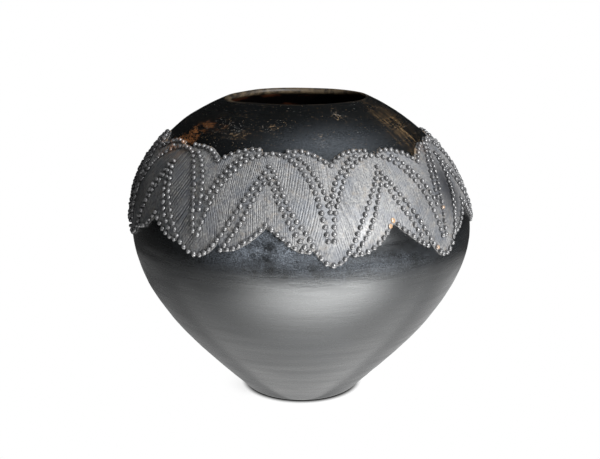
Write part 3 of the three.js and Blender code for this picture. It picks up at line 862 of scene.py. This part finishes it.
def build_band(material):
    count = COLUMNS_PER_FIGURE * len(FIGURES)
    turns = FIRST_VALLEY - FIGURE / 2 + TAU * np.arange(count) / count
    tops = [*arches.values(), *(lobe for leaf in upper_leaves.values() for lobe in leaf["lobes"])]
    bottoms = [*swags.values(), *(lobe for leaf in lower_leaves.values() for lobe in leaf["lobes"])]
    wobble = 0.35 * wander(turns, 0 * turns, 120, 10, 5)
    top = smoothed(margin_outside(turns, envelope(turns, tops, 1), 1, TOP_MARGIN), 3) + wobble
    bottom = smoothed(margin_outside(turns, envelope(turns, bottoms, -1), -1, BOTTOM_MARGIN), 3) - wobble[::-1]

    edge_rows = np.array(EDGE_ROWS)[:, None]
    low = bottom + edge_rows
    high = (top - edge_rows)[::-1]
    shares = np.linspace(0, 1, BAND_ROWS + 2)[1:-1, None]
    along = np.vstack([low, low[-1] + shares * (high[0] - low[-1]), high])
    turn = np.broadcast_to(turns, along.shape)

    guide = np.empty(along.shape)
    pellet = np.empty(along.shape)
    stroke = np.zeros(along.shape)
    all_stands = np.vstack(list(stands.values()))
    for figure in FIGURES:
        valley = valley_of[figure]
        before = (figure + 7) % len(FIGURES) + 1
        here = slice(COLUMNS_PER_FIGURE * (figure - 1), COLUMNS_PER_FIGURE * figure)
        place_turn, place_along = turn[:, here], along[:, here]
        lines = [arches[before], arches[figure], swags[before], swags[figure], outline(upper_leaves[figure]),
                 outline(lower_leaves[before]), outline(lower_leaves[figure])]
        near = [line[np.abs(np.mod(line[:, 0] - valley + math.pi, TAU) - math.pi) < 0.6 * FIGURE] for line in lines]
        guide[:, here] = distance_to(np.vstack(near), place_turn, place_along)
        close = np.abs(np.mod(all_stands[:, 0] - valley + math.pi, TAU) - math.pi) < 0.6 * FIGURE
        pellet[:, here] = distance_to(all_stands[close], place_turn, place_along)
        own_turns = turns[here]
        arch = np.fmax(round_the_pot(own_turns, arches[before], np.nan), -1000)
        other = np.fmax(round_the_pot(own_turns, arches[figure], np.nan), -1000)
        arch = np.maximum(arch, other)
        swag = np.minimum(round_the_pot(own_turns, swags[figure], 1000), 1000)
        swag = np.minimum(swag, round_the_pot(own_turns, swags[before], 1000))
        swag = np.minimum(swag, round_the_pot(own_turns, swags[figure % len(FIGURES) + 1], 1000))
        offset = np.mod(place_turn - valley + math.pi, TAU) - math.pi
        ribbon = (place_along < arch) & (place_along > swag)
        for side, lean in zip((-1, 1), STROKE_LEANS[figure]):
            half = ribbon & (side * offset >= 0)
            depth = strokes_at(offset, place_along, side * FIGURE / 4, lean, 2 * figure + side)
            stroke[:, here] = np.where(half, depth, stroke[:, here])
        leaves = [(upper_leaves[figure], 0, figure, 1), (lower_leaves[before], -FIGURE / 2, before, -1),
                  (lower_leaves[figure], FIGURE / 2, figure, -1)]
        for leaf, axis, key, side in leaves:
            inner = np.min([side * round_the_pot(own_turns, arm, side * 1000) for arm in leaf["arms"]], axis=0)
            outer = np.max([side * round_the_pot(own_turns, lobe, -side * 1000) for lobe in leaf["lobes"]], axis=0)
            within = (side * place_along > inner) & (side * place_along < outer)
            strength = SMOOTH_LEAVES.get(key, 0.9)
            depth = strength * strokes_at(offset, place_along, axis, 3 * side, 60 + 2 * key + side)
            stroke[:, here] = np.where(within, depth, stroke[:, here])

    around = np.degrees(np.mod(turn + math.pi, TAU) - math.pi)
    stroke = stroke * between(guide, 1.5, 2.4) * (1 - 0.3 * between(around, -26, -8))
    groove = smooth_step(1 - guide / GUIDE_WIDTH)
    crevice = 1 - between(pellet, PELLET_WIDTH / 2 + 0.1, PELLET_WIDTH / 2 + CREVICE_WIDTH)
    from_edge = np.minimum(along - bottom, top - along)
    stroke = stroke * smooth_step((from_edge - 1.2) / 1.2)
    crown = 1 - np.exp(-from_edge / EDGE_ROUNDING * 1.8)
    uneven = 0.1 * wander(turn, along, 130, 9, 6)
    lift = -0.25 + (BAND_THICKNESS + 0.25 + uneven) * crown - STROKE_DEPTH * stroke
    lift = lift - GUIDE_DEPTH * np.maximum(groove, 0.7 * crevice)
    grid = place(turn, along, lift)
    upper = top - along < along - bottom
    edge = np.exp(-(from_edge / 1.9) ** 2) * upper
    # The band's lower edge, which the colour darkens as painted shade
    foot = np.exp(-(from_edge / 1.3) ** 2) * (1 - upper)

    under_shares = np.linspace(0, 1, UNDER_ROWS + 2)[1:-1, None]
    under_along = top + under_shares * (bottom - top)
    under = place(np.broadcast_to(turns, under_along.shape), under_along, -BAND_SINK)
    loops = np.concatenate([grid, under])
    blank = np.zeros(under_along.shape)
    low_places = np.degrees(turn), wall_at(along)[1]
    values = {
        # Depth of the combed strokes, which the colour also darkens as painted shade
        "stroke": stroke,
        # The guide lines and the crevices round the pellets, which the colour darkens as painted shade
        "guide": np.maximum(0.8 * groove, 0.6 * crevice),
        "edge": edge,
        "foot": foot,
        "scorch": np.clip(scorch(*low_places) + 0.5 * streaks(*low_places), 0, 1),
        "shade_and_dark_patches": shade_and_dark_patches(*low_places),
    }
    for name, (first, figures) in STRIPS.items():
        columns = (COLUMNS_PER_FIGURE * (first - 1) + np.arange(COLUMNS_PER_FIGURE * figures + 1)) % count
        strip = loops[:, columns]
        rows, wide = strip.shape[:2]
        faces = grid_faces(rows, wide, False).tolist()
        closing = np.arange(wide - 1)
        last = (rows - 1) * wide
        faces += np.stack([last + closing, last + closing + 1, closing + 1, closing], -1).tolist()
        faces.append([row * wide for row in range(rows)])
        faces.append([row * wide + wide - 1 for row in reversed(range(rows))])
        shown = {key: np.vstack([column, blank])[:, columns] for key, column in values.items()}
        new_piece(name, strip.reshape(-1, 3), faces, material, ["relief_band"], shown, flat=2)


# The pellets

def pellet_shape():
    """One pellet: a squashed ball whose sides turn in again at its foot. Its last point is its top."""
    around = TAU * np.arange(PELLET_SIDES) / PELLET_SIDES
    rises = np.linspace(PELLET_FOOT, math.pi / 2, PELLET_RINGS + 1)[:-1]
    rings = [(0.72 * math.cos(rises[0]), 0.0, -PELLET_SINK)]
    low = math.sin(PELLET_FOOT)
    for rise in rises:
        rings.append((math.cos(rise), (math.sin(rise) - low) / (1 - low), 0))
    points = [(share * math.cos(a), share * math.sin(a), up, down) for share, up, down in rings for a in around]
    points.append((0, 0, 1, 0))
    return np.array(points), len(rings)


def build_row(name, places, material, random):
    """One row of pellets, each of them a little different."""
    shape, rings = pellet_shape()
    size = len(shape)
    ring = range(PELLET_SIDES)
    top_ring = (rings - 1) * PELLET_SIDES
    one = grid_faces(rings, PELLET_SIDES, True).tolist()
    one += [(top_ring + i, top_ring + (i + 1) % PELLET_SIDES, size - 1) for i in ring]
    one.append([i for i in reversed(ring)])
    points, faces, values = [], [], []
    for turn, along in places:
        radius, level = (float(value) for value in wall_at(along)[:2])
        broken = near_spot(turn, level, BROKEN)
        width = PELLET_WIDTH / 2 * random.normal(1, 0.05)
        length = width * random.normal(1.06, 0.06)
        height = PELLET_HEIGHT * random.normal(1, 0.1) * (0.25 if broken else 1)
        seat = place(turn, along, BAND_THICKNESS - 0.15)
        east = place(turn + 1 / radius, along, BAND_THICKNESS - 0.15) - seat
        north = place(turn, along + 1, BAND_THICKNESS - 0.15) - seat
        east /= np.linalg.norm(east)
        north -= east * (north @ east)
        north /= np.linalg.norm(north)
        spin = random.uniform(0, TAU)
        lump = 1 + 0.06 * np.sin(2 * np.arctan2(shape[:, 1], shape[:, 0]) + spin)
        tip_x, tip_y = random.normal(0, 0.08, 2)
        x = shape[:, 0] * width * lump
        y = shape[:, 1] * length * lump
        z = shape[:, 2] * (height + tip_x * x + tip_y * y) + shape[:, 3]
        start = len(points) * size
        points.append(seat + x[:, None] * east + y[:, None] * north + z[:, None] * np.cross(east, north))
        faces += [[start + i for i in face] for face in one]
        chip = 1 if broken else 0.9 * near_spot(turn, level, CHIPPED) * shape[:, 2] ** 2
        burnt = scorch(math.degrees(turn), level) + 0.5 * streaks(math.degrees(turn), level)
        shaded_and_darkened = shade_and_dark_patches(math.degrees(turn), level)
        column = np.ones(size)
        values.append([random.uniform(0, 1) * column, shape[:, 2], chip * column,
                       np.clip(burnt, 0, 1) * column, shaded_and_darkened * column])
    keys = ("tone", "top", "chip", "scorch", "shade_and_dark_patches")
    joined = {key: np.concatenate([value[i] for value in values]) for i, key in enumerate(keys)}
    return new_piece(f"{name}_pellets", np.vstack(points), faces, material, [name], joined)


def near_spot(turn, level, spots):
    """Whether a pellet stands on one of some spots, given in degrees and height."""
    radius = 2.4 * BELLY_RADIUS / 150
    return any(
        math.hypot(math.radians(math.degrees(turn) - around) * BELLY_RADIUS, level - height) < radius
        for around, height in spots)


def build_pellets(material):
    random = np.random.default_rng(11)
    for name, places in stands.items():
        build_row(name, places, material, random)


# Floor, light and camera

FLOOR_RADIUS = 40.0
# How far from the pot's axis the painted dark line round its foot reaches
CONTACT_REACH = (0.0485, 0.056)
SHADOW_REACH = (0.054, 0.075)
PAPER_EDGE = (0.4, 0.47)
AMBIENT = 0.01
CARD_LOW = (-0.28, -0.48)
CARD_HIGH = (0.42, -0.05)
CARD_GLOW = 7.2
CAMERA_DISTANCE = 0.9
CAMERA_PITCH = math.radians(15.3)
CAMERA_TARGET = POT_HEIGHT / 2 * MM
LENS = 60.54
SHIFT_ACROSS = -1.3 / 600
SHIFT_UP = 13 / 600


def build_floor():
    """A pale floor. What looks at it sees white, and close to the pot also the pot's shadow and a painted shadow, a
    dark line round its foot.
    """
    shader = Shader(bpy.data.materials.new("pale_floor"))
    place_seen = shader.node("ShaderNodeTexCoord").outputs["Object"]
    from_pot = shader.node("ShaderNodeVectorMath", {0: place_seen}, operation="LENGTH").outputs["Value"]
    path = shader.node("ShaderNodeLightPath").outputs
    paper = shader.node("ShaderNodeBsdfDiffuse", {"Color": (0.48, 0.48, 0.48, 1)}).outputs[0]
    white = shader.node("ShaderNodeEmission", {"Strength": 1.0}).outputs[0]
    glow = shader.node("ShaderNodeEmission", {"Strength": 0.85}).outputs[0]
    near = shader.node("ShaderNodeAddShader", {0: paper, 1: glow}).outputs[0]
    # Painted shadow: a dark line on the floor right round the pot's foot.
    past_painted_contact_shadow = shader.ramp(from_pot, *CONTACT_REACH)
    painted_contact_shadow = shader.node("ShaderNodeBsdfDiffuse", {"Color": (0.02, 0.02, 0.02, 1)}).outputs[0]
    near = shader.node("ShaderNodeMixShader", {0: past_painted_contact_shadow, 1: painted_contact_shadow, 2: near}).outputs[0]
    away = shader.ramp(from_pot, *SHADOW_REACH)
    looked_at = shader.node("ShaderNodeMixShader", {0: away, 1: near, 2: white}).outputs[0]
    dark = shader.node("ShaderNodeBsdfDiffuse", {"Color": (0.1, 0.1, 0.1, 1)}).outputs[0]
    beyond = shader.ramp(from_pot, *PAPER_EDGE)
    mirrored_in = shader.node("ShaderNodeMixShader", {0: beyond, 1: paper, 2: dark}).outputs[0]
    rightwards = shader.node("ShaderNodeSeparateXYZ", {0: place_seen}).outputs[0]
    at_right = shader.product(shader.ramp(rightwards, 0.06, 0.12), shader.ramp(from_pot, 0.28, 0.42, 1, 0))
    reached = shader.math("MAXIMUM", shader.ramp(from_pot, 0.2, 0.3, 1, 0), at_right)
    close = shader.product(shader.ramp(rightwards, -0.24, 0.07, 0.25, 1), reached, 0.72)
    mirrored_in = shader.node("ShaderNodeMixShader", {0: close, 1: mirrored_in, 2: white}).outputs[0]
    looking = shader.math("MAXIMUM", path["Is Camera Ray"], path["Is Transmission Ray"])
    shown = shader.node("ShaderNodeMixShader", {0: path["Is Glossy Ray"], 1: paper, 2: mirrored_in}).outputs[0]
    shown = shader.node("ShaderNodeMixShader", {0: looking, 1: shown, 2: looked_at}).outputs[0]
    shader.node("ShaderNodeOutputMaterial", {"Surface": shown})
    mesh = bpy.data.meshes.new("floor")
    sides = 64
    ring = [(FLOOR_RADIUS * math.cos(TAU * i / sides), FLOOR_RADIUS * math.sin(TAU * i / sides), 0)
            for i in range(sides)]
    mesh.from_pydata(ring, [], [list(range(sides))])
    mesh.materials.append(shader.material)
    floor = bpy.data.objects.new("floor", mesh)
    bpy.context.scene.collection.objects.link(floor)
    floor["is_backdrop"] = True


def build_world():
    world = bpy.data.worlds.new("studio")
    world.use_nodes = True
    tree = world.node_tree
    tree.nodes.clear()
    room = tree.nodes.new("ShaderNodeBackground")
    room.inputs["Color"].default_value = (1, 1, 1, 1)
    room.inputs["Strength"].default_value = AMBIENT
    white = tree.nodes.new("ShaderNodeBackground")
    white.inputs["Strength"].default_value = 1
    path = tree.nodes.new("ShaderNodeLightPath")
    mix = tree.nodes.new("ShaderNodeMixShader")
    tree.links.new(path.outputs["Is Camera Ray"], mix.inputs[0])
    tree.links.new(room.outputs[0], mix.inputs[1])
    tree.links.new(white.outputs[0], mix.inputs[2])
    output = tree.nodes.new("ShaderNodeOutputWorld")
    tree.links.new(mix.outputs[0], output.inputs["Surface"])
    bpy.context.scene.world = world


def softbox(name, azimuth, elevation, distance, width, height, power):
    """A soft lamp that faces the middle of the pot. Azimuth 0 is the front, and 90 is +X."""
    light = bpy.data.lights.new(name, "AREA")
    light.shape = "RECTANGLE"
    light.size = width
    light.size_y = height
    light.energy = power
    lamp = bpy.data.objects.new(name, light)
    turn, rise = math.radians(azimuth), math.radians(elevation)
    away = Vector((math.sin(turn) * math.cos(rise), -math.cos(turn) * math.cos(rise), math.sin(rise)))
    middle = Vector((0, 0, CAMERA_TARGET))
    lamp.location = middle + away * distance
    lamp.rotation_euler = (-away).to_track_quat("-Z", "Y").to_euler()
    lamp.visible_camera = False
    bpy.context.scene.collection.objects.link(lamp)
    return lamp


def bright_card():
    """A lamp that lies in front of the pot like a lit sheet, brightest where the lower wall mirrors it."""
    wide, deep = CARD_HIGH[0] - CARD_LOW[0], CARD_HIGH[1] - CARD_LOW[1]
    lamp = softbox("bright_card", 0, 0, 1, wide, deep, math.pi * wide * deep)
    lamp.location = ((CARD_LOW[0] + CARD_HIGH[0]) / 2, (CARD_LOW[1] + CARD_HIGH[1]) / 2, 0.001)
    lamp.rotation_euler = (math.pi, 0, 0)
    lamp.visible_diffuse = False
    shader = Shader(lamp.data)
    spot = shader.node("ShaderNodeNewGeometry").outputs["Position"]
    across, forward, _ = shader.node("ShaderNodeSeparateXYZ", {0: spot}).outputs
    sides = shader.product(shader.ramp(across, -0.24, 0.07), shader.ramp(across, 0.12, 0.32, 1, 0.06))
    depth = shader.product(shader.ramp(forward, -0.36, -0.31, 0.05), shader.ramp(forward, -0.29, -0.115, 1, 0.065))
    strength = shader.math("ADD", shader.product(sides, depth, CARD_GLOW), 0.25)
    glow = shader.node("ShaderNodeEmission", {"Color": (1, 0.985, 0.965, 1), "Strength": strength}).outputs[0]
    shader.node("ShaderNodeOutputLight", {"Surface": glow})


def build_lights():
    """Windows to the right of the camera, a lit sheet in front of the pot that its lower wall mirrors,
    and a dim light behind the pot, which its gloss doesn't show."""
    softbox("window", 38, 16, 1.6, 0.4, 0.4, 18)
    softbox("front_window", 6, 16, 1.6, 0.4, 0.4, 2.5)
    softbox("high_window", 42, 48, 1.6, 0.4, 0.4, 8)
    softbox("back_window", 196, 30, 1.6, 0.7, 0.7, 12).visible_glossy = False
    bright_card()


def build_camera():
    camera = bpy.data.objects.new("camera", bpy.data.cameras.new("camera"))
    camera.data.lens = LENS
    camera.data.shift_x = SHIFT_ACROSS
    camera.data.shift_y = SHIFT_UP
    camera.location = (
        0, -CAMERA_DISTANCE * math.cos(CAMERA_PITCH), CAMERA_TARGET + CAMERA_DISTANCE * math.sin(CAMERA_PITCH))
    camera.rotation_euler = (math.pi / 2 - CAMERA_PITCH, 0, 0)
    bpy.context.scene.collection.objects.link(camera)
    bpy.context.scene.camera = camera


build_body(burnished_clay())
build_band(combed_clay())
build_pellets(pellet_clay())
build_floor()
build_world()
build_lights()
build_camera()
bpy.context.scene.view_settings.view_transform = "Standard"

({"cad": [list(corner) for corner in cad_box],
           "visual": [list(corner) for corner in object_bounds()]})
